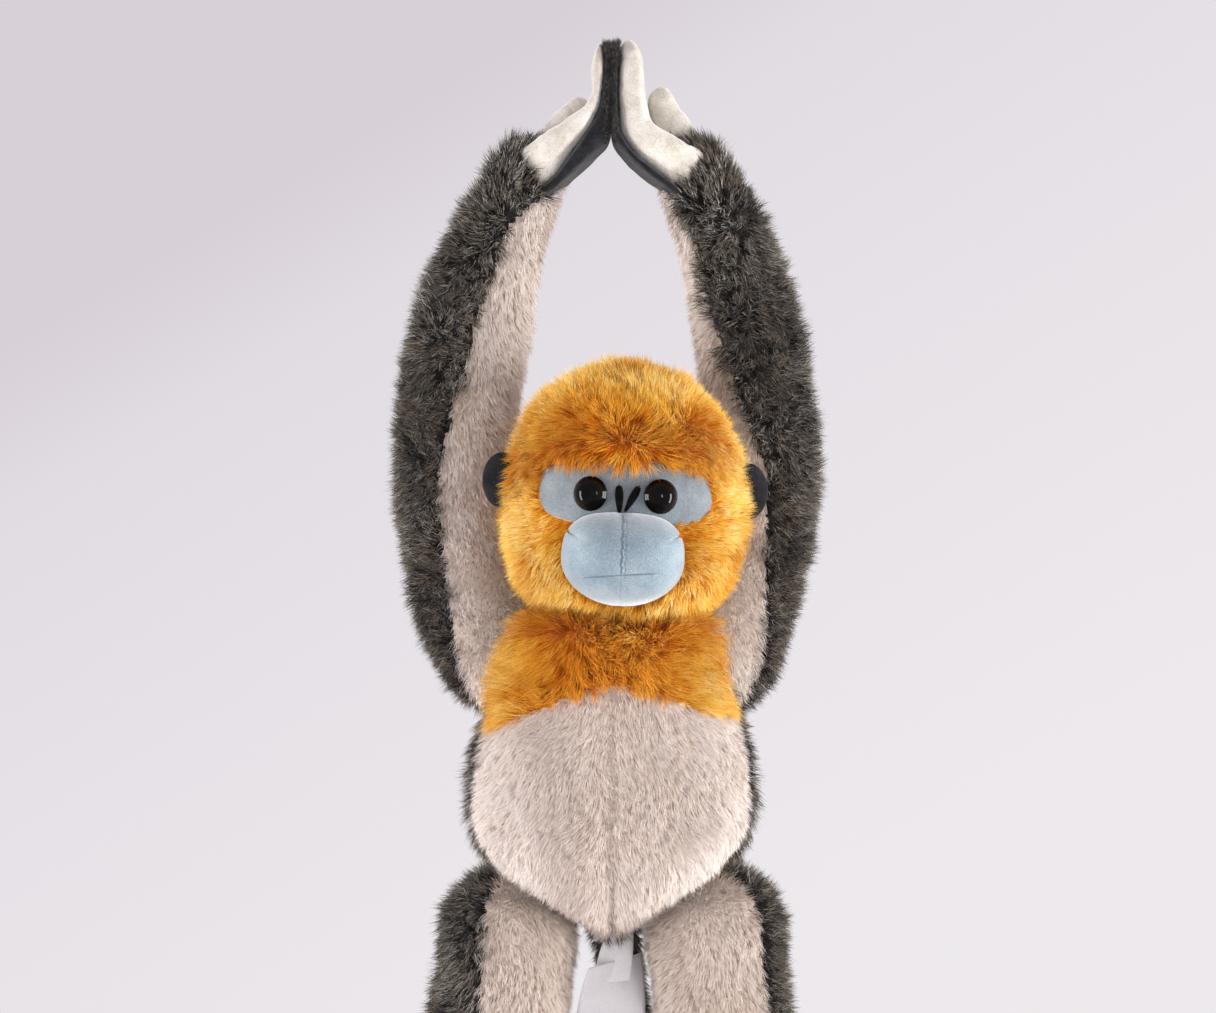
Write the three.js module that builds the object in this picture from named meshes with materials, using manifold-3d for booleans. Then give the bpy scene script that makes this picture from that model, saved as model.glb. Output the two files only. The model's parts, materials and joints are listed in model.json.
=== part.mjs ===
// A long-armed plush monkey, hanging by its closed hands with both arms raised.
// Millimetres, +Z up. The toy faces -Y, and its own left is +X.
// The origin is between the hands, just under the joined palms, where the toy hangs over a rail.
import * as THREE from "three";
import { mergeVertices } from "three/addons/utils/BufferGeometryUtils.js";
import Module from "manifold-3d";

const wasm = await Module();
wasm.setup();

// Driving dimensions
const GAP = 0.4; // between two layers that touch
const FUR = 4; // thickness of a fur panel's solid: its backing and the dense foot of its pile
const SHORT = 1.5; // thickness of a short-pile panel
const PLAY = 1.4; // room round a joint's ball
const LIMB_SIDES = 12;
const BODY_SIDES = 16;
const TAIL_SIDES = 8;

const SHOULDER = [48, 22, -240];
const ARM_END = 21.5; // radius of the arm's ball at the shoulder
const ARM_LEAN = 20; // degrees outwards at which a raised arm leaves the shoulder
const SHOULDER_SWING = 100; // degrees that an arm spreads outwards
const WRIST = [38, 12, -14];
const WRIST_END = 13.5;
const HIP = [46, 6, -368];
const HIP_END = 25;
const ANKLE = [62, 12, -520];
const ANKLE_END = 16;
const SOLE = -555; // height of the soles
const SOLE_THICK = 3;
const BIB_SEAM = -264; // height of the seam between the bib and the belly
const TAIL_ROOT = [0, 43, -338];
const TAIL_END = 7.5;
const HEAD_AT = [4, -15, -213]; // middle of the neck seam
const HEAD_ROLL = 2.5; // degrees that the head leans to its own left
const EYE = 7.5; // radius of an eye
const EYE_TURN = 17.3; // degrees round the head from its front to each eye
const EYE_HEIGHT = 50; // above the neck seam
const SHANK = 2.2; // radius of an eye's stem

const rad = THREE.MathUtils.degToRad;
const vector = (p) => new THREE.Vector3(...p);
const spline = (points) => new THREE.CatmullRomCurve3(points.map(vector));

// Materials
function cloth(colour, roughness = 0.95) {
  return new THREE.MeshStandardMaterial({ color: colour, roughness, metalness: 0 });
}
const goldFur = cloth(0xcd8c28);
const creamFur = cloth(0xe1d2c6);
const greyFur = cloth(0x6e6c62);
const paleVelboa = cloth(0xafc8da, 0.9);
const creamVelboa = cloth(0xd7d2c8, 0.9);
const charcoalVelboa = cloth(0x32363c, 0.9);
const fibre = cloth(0xf2f2f0, 1);
const thread = cloth(0x151515, 0.7);
const satin = cloth(0xe8e8ea, 0.5);
const hookTape = cloth(0x26282c, 0.8);
const eyePlastic = cloth(0x120a08, 0.08);
const washerPlastic = cloth(0xd8d8d4, 0.5);

// Booleans, by manifold-3d
function solidOf(geometry) {
  const plain = geometry.clone();
  plain.deleteAttribute("normal");
  plain.deleteAttribute("uv");
  const merged = mergeVertices(plain, 1e-3);
  return new wasm.Manifold(
    new wasm.Mesh({
      numProp: 3,
      vertProperties: merged.attributes.position.array,
      triVerts: new Uint32Array(merged.index.array),
    }),
  );
}

function geometryOf(solid) {
  const mesh = solid.getMesh();
  const geometry = new THREE.BufferGeometry();
  geometry.setAttribute("position", new THREE.BufferAttribute(mesh.vertProperties, 3));
  geometry.setIndex(new THREE.BufferAttribute(mesh.triVerts, 1));
  geometry.computeVertexNormals();
  return geometry;
}

function cut(geometry, ...tools) {
  const left = tools.reduce((solid, tool) => solid.subtract(solidOf(tool)), solidOf(geometry));
  return geometryOf(left);
}

function join(geometry, ...others) {
  const whole = others.reduce((solid, other) => solid.add(solidOf(other)), solidOf(geometry));
  return geometryOf(whole);
}

function common(a, b) {
  return geometryOf(solidOf(a).intersect(solidOf(b)));
}

// Soft shapes. Each is a list of stations from its lower end up: oval sections with a middle, two
// directions, two half sizes, and how far one millimetre of thickness moves outwards and upwards.
function station(middle, side, back, half, out = 1, up = 0) {
  return { middle, side, back, half, out, up };
}

function pointOn(s, angle, thickness, share = 1) {
  const reach = thickness * s.out;
  const p = s.middle.clone();
  p.addScaledVector(s.side, Math.cos(angle) * (s.half[0] + reach) * share);
  p.addScaledVector(s.back, Math.sin(angle) * (s.half[1] + reach) * share);
  p.z += s.up * thickness;
  return p;
}

// A limb follows a curve and ends in a ball about each end of it, or in a flatter cap.
function limb(points, halves, steps, caps = [1, 1]) {
  const curve = spline(points);
  const sizes = spline(halves.map(([w, d]) => [w, d, 0]));
  const at = (t, shift, share) => {
    const along = curve.getTangent(t);
    const side = new THREE.Vector3(0, 1, 0).cross(along).normalize();
    const back = along.clone().cross(side);
    const size = sizes.getPoint(t);
    const middle = curve.getPoint(t).addScaledVector(along, shift * Math.min(size.x, size.y));
    return station(middle, side, back, [size.x * share, size.y * share]);
  };
  const rings = [20, 55].map(rad);
  const lower = rings.map((a) => at(0, -Math.cos(a) * caps[0], Math.sin(a)));
  const upper = rings.map((a) => at(1, Math.cos(a) * caps[1], Math.sin(a))).reverse();
  const middle = Array.from({ length: steps + 1 }, (_, i) => at(i / steps, 0, 1));
  return [...lower, ...middle, ...upper];
}

// A standing form has level sections: [height, half width, half depth, middle's Y]. Thickness is added
// at right angles to its side, as the half width slopes.
function standing(sections) {
  const last = sections.length - 1;
  return sections.map(([z, w, d, y], i) => {
    const [z0, w0] = sections[Math.max(i - 1, 0)];
    const [z1, w1] = sections[Math.min(i + 1, last)];
    const slope = Math.hypot(w1 - w0, z1 - z0);
    return station(
      vector([0, y, z]), vector([1, 0, 0]), vector([0, 1, 0]), [w, d],
      (z1 - z0) / slope, (w0 - w1) / slope,
    );
  });
}

function reshape(geometry, place) {
  const p = geometry.attributes.position;
  for (let i = 0; i < p.count; i++) {
    const to = place(p.getX(i), p.getY(i), p.getZ(i));
    p.setXYZ(i, to.x, to.y, to.z);
  }
  return geometry;
}

// The whole solid inside the stations, swollen by thickness.
function core(stations, sides, thickness = 0) {
  const last = stations.length - 1;
  return reshape(new THREE.CylinderGeometry(1, 1, 1, sides, last), (x, y, z) => {
    const s = stations[Math.round((y + 0.5) * last)];
    return pointOn(s, Math.atan2(-z, x), thickness, Math.min(1, Math.hypot(x, z)));
  });
}

// A panel of cloth laid on the stations, over a range of them and of sides, with a seam gap at each edge.
function panel(stations, sides, range, fromSide, toSide, thickness, inner = GAP) {
  const [low, high] = range;
  const across = toSide - fromSide;
  const box = new THREE.BoxGeometry(1, 1, 1, across, high - low, 1);
  return reshape(box, (x, y, z) => {
    const s = stations[low + Math.round((y + 0.5) * (high - low))];
    const angle = (2 * Math.PI * (fromSide + (x + 0.5) * across)) / sides;
    const p = pointOn(s, angle, z > 0 ? inner + thickness : inner);
    const edge = Math.abs(x) > 0.499 ? (-Math.sign(x) * GAP) / 2 : 0;
    p.addScaledVector(s.side, -Math.sin(angle) * edge);
    p.addScaledVector(s.back, Math.cos(angle) * edge);
    return p;
  });
}

function ball(centre, radius, stretch = [1, 1, 1], across = 16, up = 10) {
  const sphere = new THREE.SphereGeometry(radius, across, up).rotateX(Math.PI / 2);
  return sphere.scale(...stretch).translate(...centre);
}

function block(low, high) {
  const size = high.map((v, i) => v - low[i]);
  const middle = high.map((v, i) => (v + low[i]) / 2);
  return new THREE.BoxGeometry(...size).translate(...middle);
}

function addTo(group, name, geometry, material) {
  const mesh = new THREE.Mesh(geometry, material);
  mesh.name = name;
  group.add(mesh);
}

const monkey = new THREE.Group();

// Arms, drawn on the toy's left
function addArm(group, side, seam) {
  const stations = limb(
    [SHOULDER, [57, 29, -218], [66, 37, -185], [69, 40, -143], [64, 34, -95], [53, 21, -50], WRIST],
    [[ARM_END, ARM_END], [21.5, 21.5], [21.5, 21.5], [21.3, 21.3], [20.5, 20.5], [17, 17],
      [WRIST_END, WRIST_END]],
    9,
  );
  const half = LIMB_SIDES / 2;
  const covered = [3, 10]; // clear of the ball at each end
  addTo(group, "arm_stuffing_" + side, core(stations, LIMB_SIDES), fibre);
  addTo(group, "arm_outer_panel_" + side,
    panel(stations, LIMB_SIDES, covered, seam, seam + half, FUR), greyFur);
  addTo(group, "arm_inner_panel_" + side,
    panel(stations, LIMB_SIDES, covered, seam - half, seam, FUR), creamFur);
}

// The space that an arm needs as it spreads: a ball at the shoulder and a thick fan outside it
function armSweep() {
  const reach = ARM_END + FUR + GAP + PLAY;
  const far = 90;
  const ray = (degrees) => new THREE.Vector2(Math.sin(rad(degrees)), Math.cos(rad(degrees)));
  const [first, last] = [ray(ARM_LEAN), ray(ARM_LEAN + SHOULDER_SWING)];
  const inside = new THREE.Vector2(-first.y, first.x).multiplyScalar(reach);
  const under = new THREE.Vector2(last.y, -last.x).multiplyScalar(reach);
  const outline = new THREE.Shape([
    inside, inside.clone().addScaledVector(first, far), new THREE.Vector2(1.5 * far, 0.7 * far),
    under.clone().addScaledVector(last, far), under,
  ].reverse());
  const fan = new THREE.ExtrudeGeometry(outline, { depth: 2 * reach, bevelEnabled: false });
  fan.rotateX(Math.PI / 2).translate(SHOULDER[0], SHOULDER[1] + reach, SHOULDER[2]);
  return join(ball(SHOULDER, ARM_END + PLAY, [1, 1, 1], 12, 8), fan);
}

// Hands
const PALM = [
  [33, 10, -12], [22, 7, -8], [12, 5, 2], [9.2, 4, 16], [9.2, 4, 30], [9, 4, 41],
];
const PALM_HALF = [[9.5, 15], [9.4, 19], [6.8, 20], [4.8, 18], [4.6, 16], [3.6, 11]];

function addHand(group, side, patchName) {
  const sides = 10;
  const stations = limb(PALM, PALM_HALF, 6, [0.2, 1]);
  const socket = ball(WRIST, WRIST_END + PLAY);
  const inside = core(stations, sides, 3 * GAP);
  const back = panel(stations, sides, [0, 9], -2.5, 2.5, SHORT, 3 * GAP);
  const palm = panel(stations, sides, [0, 9], 2.5, 7.5, SHORT, 3 * GAP);
  const thumb = core(
    limb([[25, 15, -5], [24.5, 19, 6], [20.5, 21, 17]], [[7, 8], [6.5, 8], [4.5, 6]], 3), 8);
  addTo(group, "hand_stuffing_" + side, cut(core(stations, sides), socket), fibre);
  addTo(group, "hand_back_" + side, cut(join(back, cut(thumb, inside)), socket), creamVelboa);
  addTo(group, "palm_" + side, cut(palm, socket), charcoalVelboa);
  addTo(group, patchName, block([0.2, -6, 12], [1.3, 14, 36]), hookTape);
}

// Legs and feet
function addLeg(group, side) {
  const stations = limb(
    [ANKLE, [61, 10, -490], [57.5, 8, -455], [53, 6.5, -420], [49, 6, -393], HIP],
    [[ANKLE_END, ANKLE_END], [19, 19], [23.5, 23.5], [26.5, 26], [26.5, 26], [HIP_END, HIP_END]],
    8,
  );
  const seam = (LIMB_SIDES * 3) / 4 + 1; // a little outwards of the front
  const half = LIMB_SIDES / 2;
  const covered = [4, 9];
  addTo(group, "leg_stuffing_" + side, core(stations, LIMB_SIDES), fibre);
  addTo(group, "leg_outer_panel_" + side,
    panel(stations, LIMB_SIDES, covered, seam, seam + half, FUR), greyFur);
  addTo(group, "leg_inner_panel_" + side,
    panel(stations, LIMB_SIDES, covered, seam - half, seam, FUR), creamFur);
}

// The space that a leg needs as it swings forwards and back
function legSweep() {
  const radius = 27 + FUR + GAP + PLAY;
  const [x, y, z] = HIP;
  const barrel = new THREE.CylinderGeometry(radius, radius, 60, 16).rotateZ(Math.PI / 2);
  const front = block([x - 30, y - 70, z - 40], [x + 30, y, z + radius]);
  return join(barrel.translate(x, y, z), front);
}

function addFoot(group, side) {
  const sides = 12;
  const middle = SOLE + SOLE_THICK + GAP + 13;
  const stations = [
    [30, 0.5], [26, 0.82], [15, 1], [-5, 1.02], [-25, 1.08], [-42, 1], [-52, 0.75], [-56, 0.4],
  ].map(([y, share]) => {
    const at = vector([63 - y * 0.08, y, middle]);
    return station(at, vector([-1, 0, 0]), vector([0, 0, 1]), [20 * share, 13 * Math.min(share, 1)]);
  }).reverse();
  const outline = new THREE.Shape();
  outline.absellipse(0, 0, 20, 42, 0, 2 * Math.PI, false, 0);
  const sole = new THREE.ExtrudeGeometry(outline, {
    depth: SOLE_THICK, bevelEnabled: false, curveSegments: 10,
  }).rotateZ(rad(4.5)).translate(64, -13, SOLE);
  const socket = ball(ANKLE, ANKLE_END + PLAY);
  addTo(group, "foot_stuffing_" + side, cut(core(stations, sides), socket), fibre);
  addTo(group, "foot_top_" + side,
    cut(panel(stations, sides, [0, 7], -1, 7, SHORT), socket), creamVelboa);
  addTo(group, "foot_sole_" + side, sole, charcoalVelboa);
}

// Trunk
const TRUNK = standing([
  [-366, 9, 12, 4], [-358, 30, 27, 4], [-345, 50, 38, 4], [-325, 58, 44, 3], [-300, 59.5, 44, 1],
  [-280, 57, 42, -1], [-263, 52, 40, -4], [-245, 47, 37, -8], [-228, 44, 34, -11], [-216, 42, 32, -13],
]);

function addTrunk(group) {
  const arm = armSweep();
  const leg = legSweep();
  const mirrored = (g) => geometryOf(solidOf(g).mirror([1, 0, 0]));
  const tail = join(
    core(tailStations(), TAIL_SIDES, FUR + GAP + PLAY), ball(TAIL_ROOT, TAIL_END + FUR + PLAY));
  const clear = (geometry) => cut(geometry, arm, mirrored(arm), leg, mirrored(leg), tail);
  const skin = (range, from, to) => clear(panel(TRUNK, BODY_SIDES, range, from, to, FUR));
  const front = 12;
  const side = 3;
  const above = block([-90, -90, BIB_SEAM - GAP / 2], [90, 90, -180]);
  const below = block([-90, -90, -400], [90, 90, BIB_SEAM + GAP / 2]);
  addTo(group, "body_stuffing", clear(core(TRUNK, BODY_SIDES)), fibre);
  addTo(group, "belly_panel_left", cut(skin([0, 7], front, front + side), above), creamFur);
  addTo(group, "belly_panel_right", cut(skin([0, 7], front - side, front), above), creamFur);
  addTo(group, "back_panel_left", skin([0, 9], -1, 4), greyFur);
  addTo(group, "back_panel_right", skin([0, 9], 4, 9), greyFur);
  addTo(group, "bib_panel", cut(skin([5, 9], front - side, front + side), below), goldFur);
  addTo(group, "care_label", block([-15, 9, -428], [14, 10, -371.5]), satin);
}

// Tail
function tailStations() {
  return limb(
    [[8, 53, -520], [10, 57, -470], [7, 59, -410], [2, 54, -368], TAIL_ROOT],
    [[5, 5], [6, 6], [6.5, 6.5], [7, 7], [TAIL_END, TAIL_END]],
    7,
  );
}

function addTail(group) {
  const stations = tailStations();
  const root = ball(TAIL_ROOT, TAIL_END + 3 * FUR);
  const sleeve = cut(core(stations, TAIL_SIDES, FUR), core(stations.slice(2), TAIL_SIDES, GAP), root);
  addTo(group, "tail_stuffing", core(stations.slice(2), TAIL_SIDES), fibre);
  addTo(group, "tail_cover", sleeve, greyFur);
}

// Head, in its own frame: Z from the neck seam, Y from the neck's axis
const SKULL = standing([
  [2, 34], [12, 42], [28, 47], [45, 48.5], [63, 46.5], [80, 40], [93, 30], [101, 17], [104.3, 4],
].map(([z, radius]) => [z, radius, radius, 0]));
const MUZZLE_AT = [0, -50, 22];
const MUZZLE_HALF = [26.5, 26, 20];

function headWindow(margin) {
  const mask = ball([0, -48, 50], 1, [39 + margin, 40, 15.5 + margin]);
  const [w, d, h] = MUZZLE_HALF;
  const muzzle = ball(MUZZLE_AT, 1, [w + margin, d + margin, h + margin]);
  return [mask, muzzle];
}

function turnedToEye(geometry, sign) {
  return geometry.rotateZ(rad(sign * EYE_TURN)).translate(0, 0, EYE_HEIGHT);
}

// A round piece about an eye's axis: a profile of [radius, distance out from the head's axis]
function eyePiece(profile, sign, segments) {
  const points = profile.map(([r, out]) => new THREE.Vector2(r, out));
  return turnedToEye(new THREE.LatheGeometry(points, segments).rotateX(Math.PI), sign);
}

function addHead(group) {
  const surface = 48.4;
  const front = surface + GAP + SHORT + GAP; // where an eye's flat back rests on the mask
  const eye = [
    [0, 34], [SHANK, 34], [SHANK, front], [EYE, front], [EYE, front + 0.8], [EYE * 0.87, front + 2.6],
    [EYE * 0.55, front + 4.1], [0, front + 4.8],
  ];
  const washer = [[SHANK + 0.3, 41], [7, 41], [7, 42.4], [SHANK + 0.3, 42.4], [SHANK + 0.3, 41]];
  const pocket = [[0, 30], [8.5, 30], [8.5, 60], [0, 60]];
  const shankHole = [[0, 30], [SHANK + 0.3, 30], [SHANK + 0.3, 60], [0, 60]];
  const pockets = [-1, 1].map((s) => eyePiece(pocket, s, 12));
  const holes = [-1, 1].map((s) => eyePiece(shankHole, s, 10));

  addTo(group, "head_stuffing", cut(core(SKULL, BODY_SIDES), ...pockets), fibre);

  const [maskTool, muzzleTool] = headWindow(0);
  const window = headWindow(GAP);
  const shell = panel(SKULL, BODY_SIDES, [1, 5], 8, 16, SHORT);
  const mask = cut(common(shell, maskTool), headWindow(GAP)[1], ...holes);
  addTo(group, "eye_mask", mask, paleVelboa);
  addTo(group, "head_panel_left",
    cut(panel(SKULL, BODY_SIDES, [0, 8], -4, 4, FUR), ...window), goldFur);
  addTo(group, "head_panel_right",
    cut(panel(SKULL, BODY_SIDES, [0, 8], 4, 12, FUR), ...window), goldFur);

  const skull = core(SKULL, BODY_SIDES, GAP);
  const [w, d, h] = MUZZLE_HALF;
  const filling = ball(MUZZLE_AT, 1, [w - SHORT, d - SHORT, h - SHORT]);
  const hollow = ball(MUZZLE_AT, 1, [w - SHORT + GAP, d - SHORT + GAP, h - SHORT + GAP]);
  const cup = cut(muzzleTool, hollow, skull);
  addTo(group, "muzzle_stuffing", cut(filling, skull), fibre);
  addTo(group, "muzzle_left", cut(cup, block([-60, -120, -30], [GAP / 2, 60, 90])), paleVelboa);
  addTo(group, "muzzle_right", cut(cup, block([-GAP / 2, -120, -30], [60, 60, 90])), paleVelboa);

  [["left", 1], ["right", -1]].forEach(([side, sign]) => {
    addTo(group, "eye_" + side, eyePiece(eye, sign, 14), eyePlastic);
    addTo(group, "eye_washer_" + side, eyePiece(washer, sign, 12), washerPlastic);
    const ear = ball([sign * 57.5, 0, 54.5], 1, [6, 4.5, 12.5], 12, 8);
    addTo(group, "ear_" + side, cut(ear, core(SKULL, BODY_SIDES, FUR + 2 * GAP)), charcoalVelboa);
  });

  const nostril = (x, lean) => {
    const drop = new THREE.Shape();
    drop.moveTo(0, -6);
    drop.quadraticCurveTo(2.6, 1, 1.2, 5);
    drop.quadraticCurveTo(-0.4, 7, -1.6, 4);
    drop.quadraticCurveTo(-2, 0, 0, -6);
    const stitch = new THREE.ExtrudeGeometry(drop, { depth: 1, bevelEnabled: false, curveSegments: 4 });
    return stitch.rotateX(Math.PI / 2).rotateY(rad(lean)).translate(x, -front, EYE_HEIGHT - 1);
  };
  addTo(group, "nostril_stitch_right", nostril(-2.2, 0), thread);
  addTo(group, "nostril_stitch_left", nostril(3, 24), thread);

  const mouth = new THREE.QuadraticBezierCurve3(
    vector([-13, -71.5, 13.5]), vector([0, -82, 12.5]), vector([13, -71.5, 13.5]));
  const section = new THREE.Shape();
  section.absellipse(0, 0, 0.5, 0.5, 0, 2 * Math.PI, false, 0);
  const seam = new THREE.ExtrudeGeometry(section, {
    extrudePath: mouth, steps: 10, curveSegments: 3, bevelEnabled: false,
  });
  addTo(group, "mouth_stitch", cut(seam, ball(MUZZLE_AT, 1, [w + GAP, d + GAP, h + GAP])), thread);
}

// The assembly
const left = new THREE.Group();
const right = new THREE.Group();
right.scale.x = -1;
// The front seam of each arm, in sides counted from the outside: the left arm shows more of its back.
addArm(left, "left", 8);
addArm(right, "right", 9);
addHand(left, "left", "loop_patch_left");
addHand(right, "right", "hook_patch_right");
[[left, "left"], [right, "right"]].forEach(([group, side]) => {
  addLeg(group, side);
  addFoot(group, side);
});

const head = new THREE.Group();
head.position.set(...HEAD_AT);
head.rotation.y = rad(HEAD_ROLL);
addHead(head);

addTrunk(monkey);
addTail(monkey);
monkey.add(left, right, head);

export default monkey;
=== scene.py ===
"""The looks of a long-armed plush monkey that hangs by its closed hands, built round the CAD frame."""

import json
import math

import bpy
import numpy as np
from mathutils import Matrix, Vector


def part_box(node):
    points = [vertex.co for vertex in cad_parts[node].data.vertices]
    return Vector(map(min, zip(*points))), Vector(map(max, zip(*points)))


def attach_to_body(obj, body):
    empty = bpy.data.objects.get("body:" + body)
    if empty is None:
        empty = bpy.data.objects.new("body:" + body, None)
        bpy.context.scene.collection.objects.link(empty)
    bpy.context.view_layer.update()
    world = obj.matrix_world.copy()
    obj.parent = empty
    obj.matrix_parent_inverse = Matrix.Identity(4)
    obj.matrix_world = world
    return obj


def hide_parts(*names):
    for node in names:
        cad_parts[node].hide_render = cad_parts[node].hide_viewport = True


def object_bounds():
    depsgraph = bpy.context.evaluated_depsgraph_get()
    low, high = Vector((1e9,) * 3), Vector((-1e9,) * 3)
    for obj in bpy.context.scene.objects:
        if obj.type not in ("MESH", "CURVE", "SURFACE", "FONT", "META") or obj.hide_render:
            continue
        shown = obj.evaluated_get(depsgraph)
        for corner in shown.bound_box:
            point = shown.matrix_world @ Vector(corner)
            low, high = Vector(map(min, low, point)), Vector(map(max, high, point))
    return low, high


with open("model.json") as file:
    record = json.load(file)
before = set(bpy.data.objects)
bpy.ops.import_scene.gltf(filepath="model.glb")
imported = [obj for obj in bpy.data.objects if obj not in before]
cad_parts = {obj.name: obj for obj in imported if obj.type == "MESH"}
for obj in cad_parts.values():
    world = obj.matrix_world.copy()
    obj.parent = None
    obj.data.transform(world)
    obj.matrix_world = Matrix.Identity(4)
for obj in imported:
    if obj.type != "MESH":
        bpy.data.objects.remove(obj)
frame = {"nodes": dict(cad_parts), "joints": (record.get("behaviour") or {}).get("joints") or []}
cad_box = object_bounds()
rng = np.random.default_rng(31)

MM = 0.001
SIDES = (("left", 1), ("right", -1))
JOINT_AT = {j["name"]: np.array(j["pos_m"]) for j in frame["joints"]}
SHOULDER, WRIST = JOINT_AT["shoulder_left"], JOINT_AT["wrist_left"]
HIP, ANKLE = JOINT_AT["hip_left"], JOINT_AT["ankle_left"]
NECK = JOINT_AT["neck_turn"]
HEAD_ROLL = math.radians(2.5)
HEAD = Matrix.Translation(Vector(NECK)) @ Matrix.Rotation(HEAD_ROLL, 4, "Y")
BIB_SEAM = -0.264


# ---- small helpers
def unit(v):
    return v / np.maximum(np.linalg.norm(v, axis=-1, keepdims=True), 1e-12)


def smooth(x, low, high):
    t = np.clip((x - low) / (high - low), 0, 1)
    return t * t * (3 - 2 * t)


def linear(colour):
    c = np.array(colour) / 255
    return tuple(np.where(c <= 0.04045, c / 12.92, ((c + 0.055) / 1.055) ** 2.4))


def to_world(points):
    """Points of the head's own frame in the row frame."""
    m = np.array(HEAD)
    return points @ m[:3, :3].T + m[:3, 3]


def link(name, mesh):
    obj = bpy.data.objects.new(name, mesh)
    bpy.context.scene.collection.objects.link(obj)
    return obj


def mesh_of(name, points, faces, materials=()):
    mesh = bpy.data.meshes.new(name)
    mesh.from_pydata([tuple(p) for p in points], [], [tuple(f) for f in faces])
    for m in materials:
        mesh.materials.append(m)
    mesh.validate()
    mesh.shade_smooth()
    return link(name, mesh)


def grid_faces(rows, columns, closed=True):
    """Quads of a grid of points. They face out when rows go up and columns go round anticlockwise."""
    faces = []
    for start in range(0, (rows - 1) * columns, columns):
        for c in range(columns if closed else columns - 1):
            d = (c + 1) % columns
            faces.append((start + c, start + d, start + columns + d, start + columns + c))
    return faces


def cap_faces(rows, columns):
    """The faces that close the first and the last row of a closed grid."""
    last = (rows - 1) * columns
    return [tuple(range(columns))[::-1], tuple(range(last, last + columns))]


def circle(columns):
    return np.linspace(0, 2 * math.pi, columns, endpoint=False)


def upright_rings(half_width, half_depth, middle_y, heights, columns):
    """Points of an upright shape with an oval section at each height."""
    around = circle(columns)
    return np.stack([
        np.outer(half_width, np.cos(around)), middle_y[:, None] + np.outer(half_depth, np.sin(around)),
        np.broadcast_to(heights[:, None], (len(heights), columns)),
    ], 2).reshape(-1, 3)


def ball_points(rows, columns):
    """Directions all over a ball, row by row from its back to its front."""
    tilt, around = np.linspace(0, math.pi, rows), circle(columns)
    return np.stack([
        np.outer(np.sin(tilt), np.cos(around)), np.outer(np.cos(tilt), np.ones(columns)),
        np.outer(np.sin(tilt), np.sin(around)),
    ], 2).reshape(-1, 3)


def eased(values, reach):
    """A row of values, each replaced by the mean of those within reach places of it."""
    width = 2 * reach + 1
    return np.convolve(np.pad(values, reach, "edge"), np.ones(width) / width, "valid")


def arrays_of(mesh):
    """A mesh's points and triangles."""
    mesh.calc_loop_triangles()
    points = np.empty(len(mesh.vertices) * 3)
    mesh.vertices.foreach_get("co", points)
    triangles = np.empty(len(mesh.loop_triangles) * 3, np.int32)
    mesh.loop_triangles.foreach_get("vertices", triangles)
    return points.reshape(-1, 3), triangles.reshape(-1, 3)


def applied(obj):
    """Applies an object's modifiers to its mesh."""
    dg = bpy.context.evaluated_depsgraph_get()
    mesh = bpy.data.meshes.new_from_object(obj.evaluated_get(dg), depsgraph=dg)
    old = obj.data
    obj.modifiers.clear()
    obj.data = mesh
    bpy.data.meshes.remove(old)
    return obj


def merged(name, shells):
    """One mesh of several shells, each given as points and faces."""
    points, faces = [], []
    for p, f in shells:
        faces += [tuple(i + len(points) for i in face) for face in f]
        points += list(p)
    return mesh_of(name, points, faces)


def remeshed(obj, voxel, smoothing):
    """Grows a mesh's shells together into one evenly meshed, smoothed skin."""
    remesh = obj.modifiers.new("remesh", "REMESH")
    remesh.mode = "VOXEL"
    remesh.voxel_size = voxel
    remesh.use_smooth_shade = True
    relax = obj.modifiers.new("relax", "SMOOTH")
    relax.iterations = smoothing
    return applied(obj)


def node_copy(name, nodes, voxel):
    """One closed, evenly meshed skin round some CAD nodes."""
    obj = merged(name, [arrays_of(frame["nodes"][n].data) for n in nodes])
    weld = obj.modifiers.new("weld", "WELD")
    weld.merge_threshold = 1e-6
    return remeshed(obj, voxel, 6)


def thicken(obj, thickness):
    """Gives a sheet a thickness, inwards from its outer face."""
    solid = obj.modifiers.new("thickness", "SOLIDIFY")
    solid.thickness = thickness
    solid.offset = -1
    applied(obj)
    obj.data.shade_smooth()


def normals_of(mesh):
    normals = np.empty(len(mesh.vertices) * 3, np.float32)
    mesh.vertices.foreach_get("normal", normals)
    return normals.reshape(-1, 3).astype(float)


def points_of(mesh):
    points = np.empty(len(mesh.vertices) * 3, np.float32)
    mesh.vertices.foreach_get("co", points)
    return points.reshape(-1, 3).astype(float)


def set_points(mesh, points):
    mesh.vertices.foreach_set("co", points.astype(np.float32).ravel())
    mesh.update()


def move_out(obj, distance):
    """Moves each point along its normal, by one distance or by one for each point."""
    d = np.broadcast_to(distance, len(obj.data.vertices))
    set_points(obj.data, points_of(obj.data) + normals_of(obj.data) * d[:, None])
    return obj


def paint(obj, *materials):
    obj.data.materials.clear()
    for m in materials:
        obj.data.materials.append(m)


def paint_by_place(obj, number, *materials):
    """Paints a backing's faces; number gives which of the materials a face has, from its middle."""
    paint(obj, *materials)
    mesh = obj.data
    middles = np.empty(len(mesh.polygons) * 3, np.float32)
    mesh.polygons.foreach_get("center", middles)
    numbers = np.asarray(number(middles.reshape(-1, 3).astype(float)))
    mesh.polygons.foreach_set("material_index", numbers.astype(np.int32))
    mesh.update()


def attach(piece, body, slot, *nodes):
    """Says which body a piece rides and which CAD nodes it stands for; slot, the material slot it fills, is
    not used.
    """
    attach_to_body(piece, body)
    if nodes:
        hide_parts(*nodes)


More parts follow.
